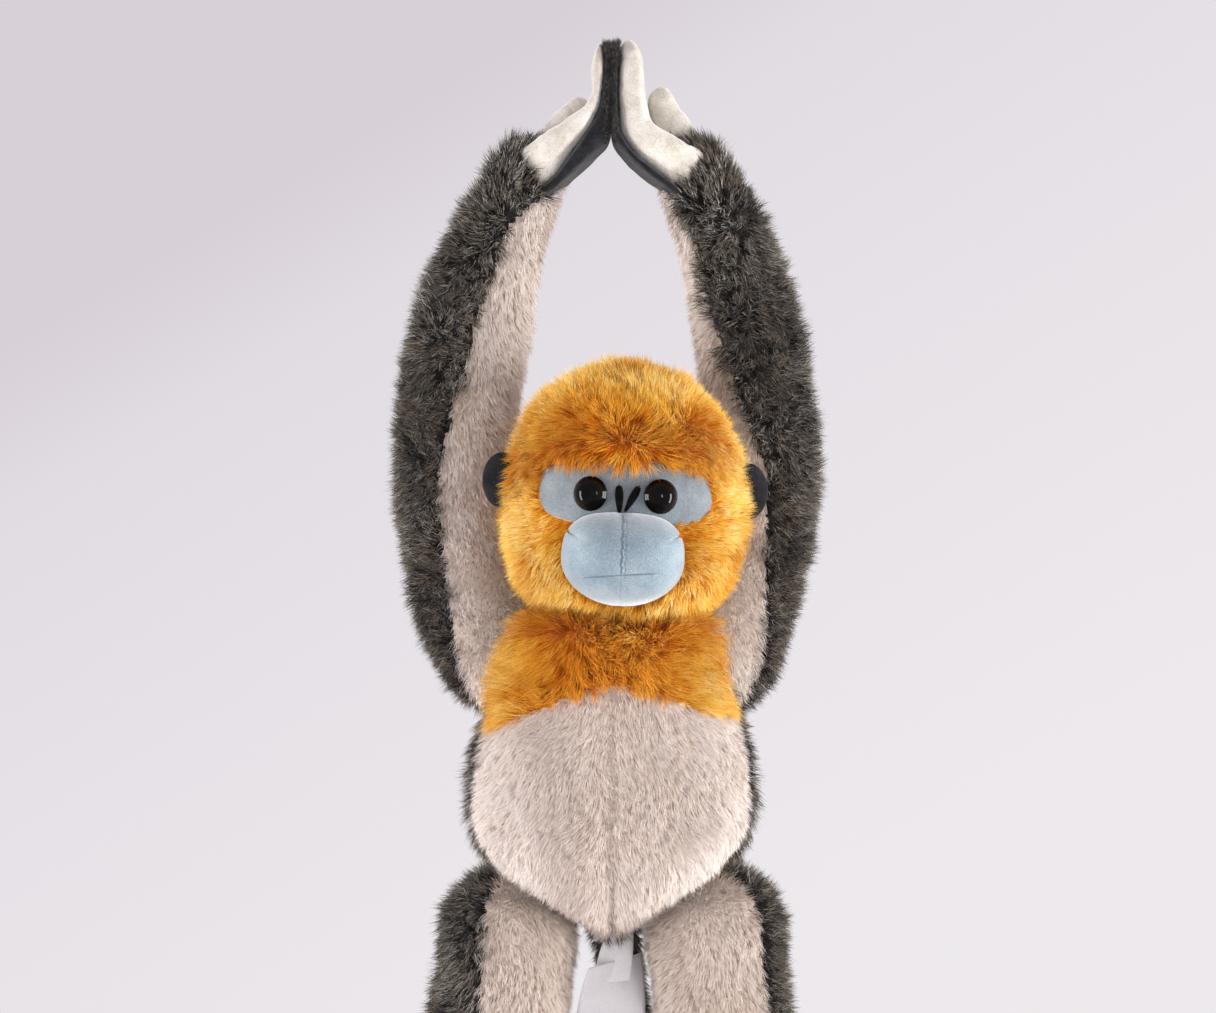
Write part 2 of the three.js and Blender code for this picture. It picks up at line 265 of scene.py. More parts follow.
def lumps(points, size, seed):
    """A smooth random field between about -1 and 1, with bumps of about that size."""
    g = np.random.default_rng(seed)
    value = np.zeros(len(points))
    for _ in range(7):
        wave = unit(g.normal(size=3)) * 2 * math.pi / (size * g.uniform(1.4, 3))
        value += np.sin(points @ wave + g.uniform(0, 6.28))
    return value / 3.5


# ---- materials
def principled(name, colour, roughness, **sockets):
    material = bpy.data.materials.new(name)
    material.use_nodes = True
    shader = material.node_tree.nodes["Principled BSDF"]
    shader.inputs["Base Color"].default_value = (*linear(colour), 1)
    shader.inputs["Roughness"].default_value = roughness
    shader.inputs["Specular IOR Level"].default_value = 0.3
    for key, value in sockets.items():
        shader.inputs[key.replace("_", " ")].default_value = value
    material.diffuse_color = (*linear(colour), 1)
    return material


def node(material, kind, **values):
    made = material.node_tree.nodes.new("ShaderNode" + kind)
    for key, value in values.items():
        if hasattr(made, key):
            setattr(made, key, value)
        else:
            made.inputs[key.replace("_", " ")].default_value = value
    return made


def wire(material, a, out, b, into):
    material.node_tree.links.new(a.outputs[out], b.inputs[into])


def set_stops(ramp_node, stops):
    elements = ramp_node.color_ramp.elements
    while len(elements) < len(stops):
        elements.new(0.5)
    for element, (at, colour) in zip(elements, stops):
        element.position = at
        element.color = (*linear(colour), 1)


def ramp(material, source, stops):
    made = node(material, "ValToRGB")
    set_stops(made, stops)
    wire(material, source, "Fac" if "Fac" in source.outputs else 0, made, "Fac")
    return made


def cloth(name, shade, colour, light, grain, bump, patch=0.02, roughness=0.9, depth=205, **sockets):
    """Cloth or fur backing: patches of colour, with a fine grain that bumps it and has painted shade in its
    hollows.
    """
    m = principled(name, colour, roughness, **sockets)
    shader = m.node_tree.nodes["Principled BSDF"]
    place = node(m, "TexCoord")
    broad = node(m, "TexNoise", Scale=1 / patch, Detail=3.0, Roughness=0.55)
    fine = node(m, "TexNoise", Scale=1 / grain, Detail=2.0, Roughness=0.6)
    for n in (broad, fine):
        wire(m, place, "Object", n, "Vector")
    tone = ramp(m, broad, ((0.36, shade), (0.52, colour), (0.68, light)))
    # painted shade: the grain's hollows are darkened, down to the grey given by depth
    hollow = ramp(m, fine, ((0.3, (depth, depth, depth)), (0.62, (255, 255, 255))))
    mix = node(m, "Mix", data_type="RGBA", blend_type="MULTIPLY")
    mix.inputs["Factor"].default_value = 1.0
    wire(m, tone, "Color", mix, 6)
    wire(m, hollow, "Color", mix, 7)
    m.node_tree.links.new(mix.outputs[2], shader.inputs["Base Color"])
    relief = node(m, "Bump", Strength=0.6, Distance=bump)
    wire(m, fine, "Fac", relief, "Height")
    wire(m, relief, "Normal", shader, "Normal")
    return m


def fibre_shades(name, colours, **sockets):
    """One plain material for each shade that a strand's pieces can have."""
    return [principled(f"{name}_{i}", c, 0.62, **sockets) for i, c in enumerate(colours)]


SHEEN = {"Sheen_Weight": 0.4, "Sheen_Roughness": 0.4, "Specular_IOR_Level": 0.15}
WARM_SHEEN = {**SHEEN, "Sheen_Tint": (1.0, 0.68, 0.3, 1.0)}
GREY_PILE = fibre_shades("grey_pile", [
    (34, 30, 27), (50, 45, 40), (78, 72, 65), (112, 106, 97), (184, 181, 173), (146, 132, 112),
    (58, 55, 51),
], **SHEEN)
CREAM_PILE = fibre_shades("cream_pile", [
    (219, 205, 194), (225, 212, 203), (231, 220, 212), (236, 227, 220), (214, 199, 187), (241, 233, 227),
    (209, 192, 179),
], **SHEEN)
GOLD_PILE = fibre_shades("gold_pile", [
    (207, 116, 14), (222, 143, 26), (236, 174, 52), (242, 194, 80), (247, 214, 120), (252, 229, 154),
    (226, 156, 38),
], **WARM_SHEEN)
# Each backing is the knit base under its pile, coloured darker than the pile: partly its own colour and
# partly painted shade in the gaps between tufts.
GREY_BACKING = cloth("grey_backing", (26, 24, 22), (38, 35, 32), (50, 47, 43), 0.0016, 0.0012)
CREAM_BACKING = cloth("cream_backing", (208, 192, 178), (218, 204, 192), (226, 214, 204), 0.0016, 0.0012)
GOLD_BACKING = cloth("gold_backing", (174, 88, 8), (200, 114, 16), (218, 138, 30), 0.0016, 0.0012)
VELBOA_SHEEN = {"Sheen_Weight": 1.0, "Sheen_Roughness": 0.4, "Specular_IOR_Level": 0.1}
BLUE_VELBOA = cloth(
    "pale_blue_velboa", (138, 156, 167), (148, 166, 176), (163, 178, 186), 0.0006, 0.0004, 0.012, 0.85, 212,
    **VELBOA_SHEEN,
)
MASK_VELBOA = cloth(
    "grey_blue_velboa", (122, 131, 137), (132, 142, 148), (145, 153, 157), 0.0006, 0.0004, 0.012, 0.85, 212,
    **VELBOA_SHEEN,
)
CREAM_VELBOA = cloth(
    "off_white_velboa", (202, 196, 183), (218, 212, 202), (229, 224, 216), 0.0007, 0.0006, 0.009, 0.85, 224,
    **VELBOA_SHEEN,
)
CHARCOAL_VELBOA = cloth(
    "charcoal_velboa", (22, 23, 26), (30, 31, 35), (41, 43, 48), 0.0009, 0.0006, 0.006, 0.8, 196,
    Sheen_Weight=0.25, Sheen_Roughness=0.4, Specular_IOR_Level=0.15,
)
THREAD = cloth(
    "black_thread", (8, 8, 9), (13, 13, 14), (22, 22, 24), 0.0004, 0.0002, 0.003, 0.6,
    Specular_IOR_Level=0.05,
)
MOUTH_THREAD = cloth(
    "mouth_thread", (104, 124, 138), (116, 136, 150), (130, 149, 162), 0.0004, 0.0002, 0.003, 0.6,
)
HOOK_TAPE = cloth("hook_tape", (26, 28, 31), (36, 38, 42), (48, 50, 55), 0.0006, 0.0006, 0.004, 0.7)
WASHER = cloth(
    "washer_plastic", (206, 206, 202), (214, 214, 210), (222, 222, 218), 0.002, 0.0001, 0.01, 0.5,
)


# ---- fur
class Skin:
    """A surface that fur grows from."""

    def __init__(self, points, triangles):
        self.points, self.triangles = points, triangles
        a, b, c = (points[triangles[:, i]] for i in range(3))
        cross = np.cross(b - a, c - a)
        self.areas = np.linalg.norm(cross, axis=1) / 2
        self.normals = np.zeros_like(points)
        for i in range(3):
            np.add.at(self.normals, triangles[:, i], cross)
        self.normals = unit(self.normals)

    def scatter(self, spacing):
        """Points spread evenly over the skin, about that far apart, and the skin's normals there."""
        count = int(self.areas.sum() / spacing**2 * 6)
        chance = np.cumsum(self.areas) / self.areas.sum()
        face = np.searchsorted(chance, rng.random(count)).clip(0, len(chance) - 1)
        u, v = rng.random(count), rng.random(count)
        over = u + v > 1
        u[over], v[over] = 1 - u[over], 1 - v[over]
        weights = np.stack([1 - u - v, u, v], 1)[:, :, None]
        corners = self.triangles[face]
        points = (self.points[corners] * weights).sum(1)
        normals = unit((self.normals[corners] * weights).sum(1))
        cells = np.floor(points / (spacing * 1.22)).astype(np.int64)
        _, first = np.unique(cells, axis=0, return_index=True)
        return points[first], normals[first]


def fur(name, skin, keep, comb, look):
    """A piece of pile. keep says which tufts grow, from roots and normals; comb gives the way they lean.

    look: spacing of tufts, each (strands in a tuft), length, width, pull of a tuft's tips together, jitter
    of a tuft's direction, curl of each strand, sway of the pile, locks (the size of what sways together),
    twist of a ribbon away from the skin, shades, and parts: the shades that a strand's foot and tip are
    picked from. It may have trim, a share of the length, and bias, which moves the pick along the list."""
    roots, normals = skin.scatter(look["spacing"])
    kept = keep(roots, normals)
    roots, normals = roots[kept], normals[kept]
    lean = comb(roots, normals)
    tufts, each = len(roots), look["each"]
    sway = np.stack([lumps(roots, look["locks"], 40 + i) for i in range(3)], 1)
    lean = lean + sway * look["sway"] + rng.normal(size=(tufts, 3)) * look["jitter"]
    lean = lean - normals * (lean * normals).sum(1, keepdims=True)
    length = look["length"] * rng.uniform(0.84, 1.14, tufts) * (1 + 0.1 * lumps(roots, 0.012, 50))
    if "trim" in look:
        length = length * look["trim"](roots, normals)

    count = tufts * each
    n, centre, way = (np.repeat(v, each, 0) for v in (normals, roots, lean))
    offset = rng.normal(size=(count, 3))
    offset -= n * (offset * n).sum(1, keepdims=True)
    root = centre + unit(offset) * np.sqrt(rng.random((count, 1))) * look["spacing"] * 0.9
    curl = rng.normal(size=(count, 3)) * look["curl"]
    long = (np.repeat(length, each) * rng.uniform(0.76, 1.1, count))[:, None]
    start = unit(n + 0.6 * way + 0.6 * curl)
    finish = unit(n * 0.75 + 1.5 * way + 1.6 * curl)
    start_tuft = unit(n + 0.6 * way)
    finish_tuft = unit(n * 0.75 + 1.5 * way)
    half_way = rng.uniform(0.4, 0.62, (count, 1))
    face = unit(n + rng.normal(size=(count, 3)) * look["twist"])
    width = look["width"] * rng.uniform(0.75, 1.2, (count, 1)) / 2
    points = []
    for s, share in ((0.0, 1.0), (half_way, 0.85), (1.0, 0.0)):
        own = root + long * (s * start + 0.5 * s * s * (finish - start))
        tuft = centre + long * (s * start_tuft + 0.5 * s * s * (finish_tuft - start_tuft))
        middle = own + look["pull"] * s**1.3 * (tuft - own)
        side = unit(np.cross(unit(start + s * (finish - start)), face)) * width * share
        points += [middle - side, middle + side] if share else [middle]
    points = np.stack(points, 1)

    loops = (np.arange(count)[:, None] * 5 + np.array([0, 1, 3, 2, 2, 3, 4])).ravel()
    loop_starts = (np.arange(count)[:, None] * 7 + np.array([0, 4])).ravel()
    tone = np.repeat(rng.random(tufts) * 0.5 + 0.16 * lumps(roots, 0.03, 60), each)
    tone += rng.random(count) * 0.5
    if "bias" in look:
        tone += np.repeat(look["bias"](roots), each)
    tone = np.clip(tone, 0, 0.999)
    # the first list in parts gives the foot's shades, which are darker: partly the pile's own colour,
    # partly painted shade deep in the pile
    slots = np.stack([np.array(p)[(tone * len(p)).astype(int)] for p in look["parts"]], 1).ravel()

    mesh = bpy.data.meshes.new(name)
    mesh.vertices.add(count * 5)
    mesh.vertices.foreach_set("co", points.astype(np.float32).ravel())
    mesh.loops.add(len(loops))
    mesh.loops.foreach_set("vertex_index", loops.astype(np.int32))
    mesh.polygons.add(len(loop_starts))
    mesh.polygons.foreach_set("loop_start", loop_starts.astype(np.int32))
    for m in look["shades"]:
        mesh.materials.append(m)
    mesh.polygons.foreach_set("material_index", slots.astype(np.int32))
    mesh.update(calc_edges=True)
    mesh.shade_smooth()
    return link(name, mesh)


# In each look the foot's shades, the first list in parts, are darker than the tip's: partly the pile's own
# colour and partly painted shade at the roots.
GREY = {
    "spacing": 2.5 * MM, "each": 19, "length": 10.6 * MM, "width": 0.32 * MM, "pull": 0.35, "jitter": 0.3,
    "curl": 0.26, "sway": 0.45, "locks": 0.016, "twist": 0.5, "shades": GREY_PILE,
    "parts": ((0, 0, 1, 0), (1, 3, 2, 5, 6, 4, 2)),
}
CREAM = {
    "spacing": 2.0 * MM, "each": 11, "length": 6.4 * MM, "width": 0.31 * MM, "pull": 0.12, "jitter": 0.11,
    "curl": 0.2, "sway": 0.28, "locks": 0.02, "twist": 0.15, "shades": CREAM_PILE,
    "parts": ((4, 0, 1, 2), (0, 1, 2, 2, 3, 5)),
}
GOLD = {
    "spacing": 2.6 * MM, "each": 25, "length": 10 * MM, "width": 0.28 * MM, "pull": 0.14, "jitter": 0.15,
    "curl": 0.2, "sway": 0.7, "locks": 0.02, "twist": 0.25, "shades": GOLD_PILE,
    "parts": ((0, 1, 6, 2), (1, 2, 2, 3, 3, 4, 5)),
}


def combed(*way):
    """A comb that leans every tuft the same way."""
    return lambda p, n: np.tile(way, (len(p), 1))


def everywhere(points, normals):
    return np.ones(len(points), bool)


def on_side(points, sign):
    return points[:, 0] * sign >= 0


# ---- limbs
def axis_of(points, ends):
    """A limb's middle line: the mean of its points in slices of height, as a function of height."""
    low, high = ends
    heights = np.linspace(low, high, 14)
    half = (heights[1] - heights[0]) * 0.75
    middles = np.array([
        (p.max(0) + p.min(0)) / 2 for p in (points[np.abs(points[:, 2] - z) < half] for z in heights)
    ])
    return lambda z: np.stack([np.interp(z, heights, middles[:, i]) for i in (0, 1)], 1)


# how far each arm's outer side is filled out, and where each leg's front seam runs round it, in degrees
ARM_REACH = {"left": 1.5 * MM, "right": 6.0 * MM}
LEG_SEAM = {"left": 318.0, "right": 293.0}


def arm_seam(side, z):
    """Where an arm's front seam runs round it, in degrees from outwards; 270 is the front."""
    heights = np.array([-225, -193, -149, -136, -117, -107, -96, -82, -54, -36, -22, -8]) * MM
    if side == "left":
        turns = [312, 292, 278, 266, 251, 244, 238, 231, 227, 225, 214, 205]
    else:
        turns = [315, 305, 297, 292, 283, 277, 273, 270, 263, 258, 214, 196]
    return np.interp(z, heights, turns)


def leg_seam(side, z):
    return np.full(len(z), LEG_SEAM[side])


def limb_angle(points, axis, sign):
    """Degrees round a limb's middle line: 0 is outwards, 90 the back, 180 inwards and 270 the front."""
    flat = points[:, :2] - axis(points[:, 2])
    return np.degrees(np.arctan2(flat[:, 1], flat[:, 0] * sign)) % 360


def outer_half(points, axis, sign, seam):
    """True on the half of a limb that runs backwards from its seam, round the outside and the back."""
    turn = (limb_angle(points, axis, sign) - seam) % 360
    return turn < 180


def bow_out(backing, axis, sign, reach):
    """Fills out the outer side of an arm between the shoulder and the wrist."""
    points = points_of(backing.data)
    share = smooth(-points[:, 2], 0.02, 0.08) * smooth(points[:, 2], -0.27, -0.22)
    outer_side = 0.5 + 0.5 * np.cos(np.radians(limb_angle(points, axis, sign)))
    points[:, 0] += sign * reach * share * outer_side
    set_points(backing.data, points)


def make_limb(kind, side, sign, ends, seam):
    """One arm or leg: its stuffed backing and the pile of its outer and inner panels."""
    is_leg = kind == "leg"
    body, stuffing = f"{kind}_{side}", f"{kind}_stuffing_{side}"
    backing = node_copy(f"{kind}_backing_{side}", [stuffing], 3.0 * MM)
    points, _ = arrays_of(backing.data)
    axis = axis_of(points, ends)
    thigh = 4.5 * MM * smooth(points[:, 2], -0.385, -0.352) if is_leg else 0
    move_out(backing, 1.6 * MM + thigh + 0.7 * MM * lumps(points, 0.035, 5 + sign))
    if not is_leg:
        bow_out(backing, axis, sign, ARM_REACH[side])

    def outer(p):
        return outer_half(p, axis, sign, seam(side, p[:, 2]))

    def outwards(p):
        flat = p[:, :2] - axis(p[:, 2])
        return unit(np.column_stack([flat, np.zeros(len(p))]))

    def grey_comb(p, n):
        way = np.array([0, 0, -0.4 if is_leg else -0.2]) + 0.15 * outwards(p)
        if is_leg:
            return way
        near_hand = smooth(p[:, 2], -0.04, -0.022)[:, None]
        return way * (1 - near_hand) + np.array([-0.55 * sign, -0.25, 0.55]) * near_hand

    paint_by_place(backing, outer, CREAM_BACKING, GREY_BACKING)
    skin = Skin(*arrays_of(backing.data))
    outer_pile = fur(f"{kind}_outer_pile_{side}", skin, lambda p, n: outer(p), grey_comb, GREY)
    # painted light and shade: the arms' cream pile takes paler shades and the legs' darker ones
    cream = {**CREAM, "bias": lambda p: np.full(len(p), -0.3 if is_leg else 0.25)}
    down = combed(0, 0, -0.8)
    inner_pile = fur(f"{kind}_inner_pile_{side}", skin, lambda p, n: ~outer(p), down, cream)
    attach(backing, body, "fibre", stuffing)
    attach(outer_pile, body, "grey_fur", f"{kind}_outer_panel_{side}")
    attach(inner_pile, body, "cream_fur", f"{kind}_inner_panel_{side}")


def make_limbs():
    for kind, ends, seam in (
        ("arm", (SHOULDER[2] + 0.004, WRIST[2]), arm_seam),
        ("leg", (ANKLE[2], HIP[2] - 0.004), leg_seam),
    ):
        for side, sign in SIDES:
            make_limb(kind, side, sign, ends, seam)


# ---- trunk
def make_trunk():
    _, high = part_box("body_stuffing")
    tall = 0.150
    foot = high.z - tall
    # height above the foot, half width, half depth and middle's Y, in millimetres
    sections = np.array([
        (4, 2, 3, 4), (8, 5, 12, 4), (12, 11, 20, 4), (16, 18.5, 28, 4), (21, 27, 33, 4), (26, 35, 37, 4),
        (32, 43, 40, 4), (39, 51, 42.5, 3.5), (46, 56.5, 44, 3), (53, 59, 44.5, 2.5), (60, 60, 44.5, 2),
        (68, 59.5, 44, 1), (78, 58.4, 43, 0), (88, 57, 42, -1), (96, 54.5, 41, -3), (103, 52, 40, -4),
        (112, 49.6, 38.6, -6), (121, 47, 37, -8), (130, 45.4, 35.5, -9.5), (138, 44, 34, -11),
        (145, 41, 31, -12), (149, 34, 26, -13), (150, 12, 9, -13),
    ]) * MM
    heights = np.linspace(sections[0, 0], tall, 72)
    w, d, y = (eased(np.interp(heights, sections[:, 0], sections[:, i]), 3) for i in (1, 2, 3))
    w[0], d[0], w[-1], d[-1] = 2 * MM, 2 * MM, 2 * MM, 2 * MM
    columns = 128
    points = upright_rings(w, d, y, foot + heights, columns)
    faces = grid_faces(len(heights), columns) + cap_faces(len(heights), columns)
    backing = mesh_of("trunk_backing", points, faces)
    move_out(backing, 1.8 * MM + 0.9 * MM * lumps(points, 0.05, 3))

    def turn(p):
        return np.degrees(np.arctan2(p[:, 1], np.abs(p[:, 0])))

    def is_back(p):
        under = smooth(-p[:, 2], 0.332, 0.350)
        return turn(p) > -3 + 45 * under

    def is_bib(p):
        arc = BIB_SEAM + 0.0005 + 0.017 * smooth(-np.abs(p[:, 0]), -0.054, 0) + 0.04 * p[:, 0]
        return (turn(p) < -16) & (p[:, 2] > arc)

    def backing_number(p):
        return np.where(is_bib(p), 2, is_back(p))

    paint_by_place(backing, backing_number, CREAM_BACKING, GREY_BACKING, GOLD_BACKING)
    skin = Skin(*arrays_of(backing.data))

    def belly_comb(p, n):
        side = np.sign(p[:, 0]) * smooth(np.abs(p[:, 0]), 0.0, 0.01) * 0.25
        return np.column_stack([side, np.zeros(len(p)), np.full(len(p), -0.85)])

    def bib_comb(p, n):
        side = 0.45 * np.tanh(p[:, 0] / 0.012)
        fall = -0.45 - 0.25 * smooth(np.abs(p[:, 0]), 0.02, 0.042)
        return np.column_stack([side, np.zeros(len(p)), fall])

    def bib_trim(p, n):
        above = smooth(p[:, 2], BIB_SEAM + 0.014, BIB_SEAM + 0.030)
        return 0.72 + 0.28 * np.maximum(above, smooth(np.abs(p[:, 0]), 0.02, 0.04))

    def belly_trim(p, n):
        return 0.32 + 0.68 * smooth(np.abs(p[:, 0]), 0.0003, 0.0028)

    # painted light: the belly's pile takes paler shades towards its sides and darker ones in its middle
    def belly_painted_side_light(p):
        return 0.5 * smooth(np.abs(p[:, 0]), 0.02, 0.05) - 0.12

    def bib_bias(p):
        return 0.42 * smooth(np.abs(p[:, 0]), 0.022, 0.046) - 0.28

    pieces = []
    belly_look = {**CREAM, "trim": belly_trim, "bias": belly_painted_side_light}
    bib_look = {**GOLD, "length": 12.5 * MM, "trim": bib_trim, "bias": bib_bias}
    for side, sign in SIDES:

        def is_belly_half(p, n, sign=sign):
            return on_side(p, sign) & ~is_back(p) & ~is_bib(p)

        def is_back_half(p, n, sign=sign):
            return on_side(p, sign) & is_back(p) & ~is_bib(p)

        belly = fur(f"belly_pile_{side}", skin, is_belly_half, belly_comb, belly_look)
        back = fur(f"back_pile_{side}", skin, is_back_half, combed(0, 0, -0.75), GREY)
        pieces += [(belly, "cream_fur", f"belly_panel_{side}"), (back, "grey_fur", f"back_panel_{side}")]
    bib = fur("bib_pile", skin, lambda p, n: is_bib(p), bib_comb, bib_look)
    pieces += [(bib, "gold_fur", "bib_panel"), (backing, "fibre", "body_stuffing")]
    for piece, slot, stands_for in pieces:
        attach(piece, "body", slot, stands_for)


def make_tail():
    backing = node_copy("tail_backing", ["tail_stuffing", "tail_cover"], 1.6 * MM)
    move_out(backing, -2.2 * MM)
    paint(backing, GREY_BACKING)
    skin = Skin(*arrays_of(backing.data))
    look = {**GREY, "length": 8.5 * MM, "spacing": 2.4 * MM}
    pile = fur("tail_pile", skin, everywhere, combed(0, 0, -0.9), look)
    attach(backing, "tail", "fibre", "tail_stuffing")
    attach(pile, "tail", "grey_fur", "tail_cover")


# ---- head
# height and radius of the skull, from the neck up
SKULL = np.array([
    (-1, 4), (1, 26), (4, 36), (12, 42), (28, 47), (45, 48.5), (63, 46.5), (80, 40), (93, 30), (101, 17),
    (104.2, 3),
]) * MM
MASK_POWER = 2.8
MASK_HEIGHT, MASK_HALF = 50.8 * MM, np.array([42.5, 14.4]) * MM
MUZZLE_AT, MUZZLE_HALF = np.array([0, -50, 22.2]) * MM, np.array([27, 26, 20.6]) * MM
EYE_RADIUS, EYE_TURN, EYE_HEIGHT = 7.5 * MM, math.radians(17.3), 50 * MM
FACE = 50.7 * MM


def skull_radius(z):
    return np.interp(z, SKULL[:, 0], SKULL[:, 1])


def inside(points, centre, half, margin=0.0):
    """How far out a point is in an ellipsoid: 1 is its surface."""
    return np.linalg.norm((points - centre) / (half + margin), axis=1)


def mask_ring(p):
    """How far out a point of the head is in the mask's rounded oblong: 1 is its edge."""
    along = np.arctan2(p[:, 0], -p[:, 1]) * skull_radius(p[:, 2]) / MASK_HALF[0]
    up = (p[:, 2] - MASK_HEIGHT) / MASK_HALF[1]
    return (np.abs(along) ** MASK_POWER + np.abs(up) ** MASK_POWER) ** (1 / MASK_POWER)


def head_skin():
    heights = np.linspace(SKULL[0, 0], SKULL[-1, 0], 80)
    radius = eased(skull_radius(heights), 4)
    radius[0] = radius[-1] = 1.5 * MM
    columns = 128
    points = upright_rings(radius, radius, np.zeros(len(heights)), heights, columns)
    return points, grid_faces(len(heights), columns) + cap_faces(len(heights), columns)


def make_head():
    points, faces = head_skin()
    backing = mesh_of("head_backing", points, faces, [GOLD_BACKING])
    front = smooth(-points[:, 1], 0.02, 0.045)
    brow = np.exp(-(((mask_ring(points) - 1.3) / 0.32) ** 2))
    brow *= smooth(points[:, 2], MASK_HEIGHT, MASK_HEIGHT + 0.008)
    rise = (1.6 * MM + 0.8 * MM * lumps(points, 0.05, 9)) * (1 - front) + (0.9 + 2.8 * brow) * MM * front
    move_out(backing, rise)
    local = points_of(backing.data)
    skin = Skin(local, arrays_of(backing.data)[1])
    set_points(backing.data, to_world(local))

    def furry(p, n):
        in_muzzle = inside(p, MUZZLE_AT, MUZZLE_HALF, 0.001) < 1
        return (mask_ring(p) > 0.97) & ~((p[:, 1] < 0) & in_muzzle)

    def comb(p, n):
        away = unit(p - np.array([0, -0.050, 0.046])) * np.array([1, 0.6, 1])
        brow = smooth(p[:, 2], MASK_HEIGHT - 0.003, MASK_HEIGHT + 0.008) * smooth(-p[:, 1], -0.01, 0.015)
        hang = (brow * (1 - smooth(p[:, 2], 0.060, 0.090)))[:, None]
        lower = smooth(-p[:, 2], -0.03, 0.0)[:, None]
        way = away * 0.42 + np.array([0, 0, -0.35]) * lower
        fringe = np.column_stack([9 * p[:, 0], np.full(len(p), -0.1), np.full(len(p), -0.95)])
        return way * (1 - hang) + fringe * hang

    # painted light: paler shades towards the head's rim, as if lit from the sides and behind; the shades
    # are also darker low on the head
    def bias(p):
        edge = np.hypot(p[:, 0] / 0.046, (p[:, 2] - 0.052) / 0.05)
        return 0.5 * smooth(edge, 0.62, 1.0) - 0.27 - 0.1 * smooth(-p[:, 2], -0.04, -0.005)

    def trim(p, n):
        ring = mask_ring(p)
        beside = (np.abs(p[:, 0]) > 0.03) | (p[:, 2] < MASK_HEIGHT)
        return np.where(beside, 0.6 + 0.4 * smooth(ring, 1, 1.5), 1.15 - 0.15 * smooth(ring, 1.2, 2.0))

    pieces = []
    look = {**GOLD, "trim": trim, "bias": bias}
    for side, sign in SIDES:

        def is_half(p, n, sign=sign):
            return on_side(p, sign) & furry(p, n)

        piece = fur(f"head_pile_{side}", skin, is_half, comb, look)
        set_points(piece.data, to_world(points_of(piece.data)))
        pieces.append((piece, "gold_fur", f"head_panel_{side}"))
    pieces.append((backing, "fibre", "head_stuffing"))
    for piece, slot, stands_for in pieces:
        attach(piece, "head", slot, stands_for)


def make_mask():
    """A shaped patch of velboa round the eyes, stretched over the skull and tucked in at its edges."""
    rings, columns = 30, 128
    around = circle(columns)
    share = np.linspace(1, 0.004, rings)
    corner = [np.sign(f(around)) * np.abs(f(around)) ** (2 / MASK_POWER) for f in (np.cos, np.sin)]
    along = np.outer(share, corner[0]) * MASK_HALF[0]
    z = np.outer(share, corner[1]) * MASK_HALF[1] + MASK_HEIGHT
    rise = 1.5 * MM * np.minimum(1, (1 - share) / 0.16)[:, None] ** 0.5 + 1.3 * MM
    radius = skull_radius(z)
    out = radius + rise + 0.2 * MM * np.sin(along * 200) * np.sin(z * 300)
    turn = along / radius
    points = np.stack([out * np.sin(turn), -out * np.cos(turn), z], 2).reshape(-1, 3)
    faces = grid_faces(rings, columns) + cap_faces(rings, columns)[1:]
    mask = mesh_of("eye_mask_cloth", to_world(points), faces, [MASK_VELBOA])
    thicken(mask, 1.2 * MM)
    attach(mask, "head", "pale_blue_velboa", "eye_mask")


def mouth_height(x):
    """The mouth line's height: almost level, and a little higher at the toy's own left."""
    return 15.9 * MM + 0.1 * x - 1.5 * x**2


def muzzle_skin(ball):
    """Places on the muzzle for directions on a ball: boxy above its middle and egg-shaped below."""
    x, _, z = ball.T
    boxy = np.where(z > 0, (1 - np.abs(z) ** 3) ** (1 / 3) / np.sqrt(1 - z**2 + 1e-6), 1.0)
    boxy = np.minimum(1 + (boxy - 1) * 0.85 * smooth(np.abs(x), 0.0, 0.1), 1.6)
    return MUZZLE_AT + ball * MUZZLE_HALF * np.column_stack([boxy, np.ones(len(z)), np.ones(len(z))])


def make_muzzle():
    """The stuffed muzzle: two halves gathered along a seam, a mouth line and a dart at each cheek."""
    rows, columns = 140, 288
    ball = ball_points(rows, columns)
    base = muzzle_skin(ball)
    front = smooth(-ball[:, 1], -0.1, 0.3)
    px, pz = base[:, 0] - MUZZLE_AT[0], base[:, 2]
    mouth = mouth_height(px)
    above = smooth(pz - mouth, -0.0005, 0.0015)
    wave = 0.3 * MM * np.sin(pz / (5.5 * MM) * 2 * math.pi)
    wave += 0.2 * MM * np.sin(pz / (2.3 * MM) * 2 * math.pi)
    across = px - wave * above
    valley = np.exp(-((px / (3.2 * MM)) ** 2)) * front
    groove = np.exp(-(((across + 0.7 * MM) / (0.5 * MM)) ** 2)) * front
    second = np.exp(-(((across - 0.9 * MM) / (0.4 * MM)) ** 2)) * front
    ridge = np.exp(-(((across - 0.1 * MM) / (0.45 * MM)) ** 2)) * front
    puckers = np.cos(pz / (2.9 * MM) * 2 * math.pi + px * 900) * np.exp(-np.abs(px) / (2.4 * MM)) * front
    depth = valley * (0.35 + 0.45 * above) * MM
    depth += (groove * (0.2 + 0.5 * above) + 0.28 * second * above) * MM
    depth -= (0.25 * ridge + 0.16 * puckers) * above * MM
    crease = np.exp(-(((pz - mouth) / (0.9 * MM)) ** 2)) * front * smooth(-np.abs(px), -0.018, -0.014)
    depth += 0.45 * MM * crease
    for sign in (1, -1):
        along = (px * sign - 0.0245) / 0.004
        cross = pz - (33.6 * MM + (px * sign - 0.0245) * 0.5)
        depth += 1.5 * MM * np.exp(-((cross / (0.7 * MM)) ** 2)) * np.exp(-(along**2))
    normal = unit(ball / MUZZLE_HALF)
    points = base - normal * depth[:, None] - normal * 0.3 * MM
    faces = [f[::-1] for f in grid_faces(rows, columns)]
    muzzle = mesh_of("muzzle_cloth", to_world(points), faces, [BLUE_VELBOA])
    attach(muzzle, "head", "pale_blue_velboa", "muzzle_left", "muzzle_right", "muzzle_stuffing")


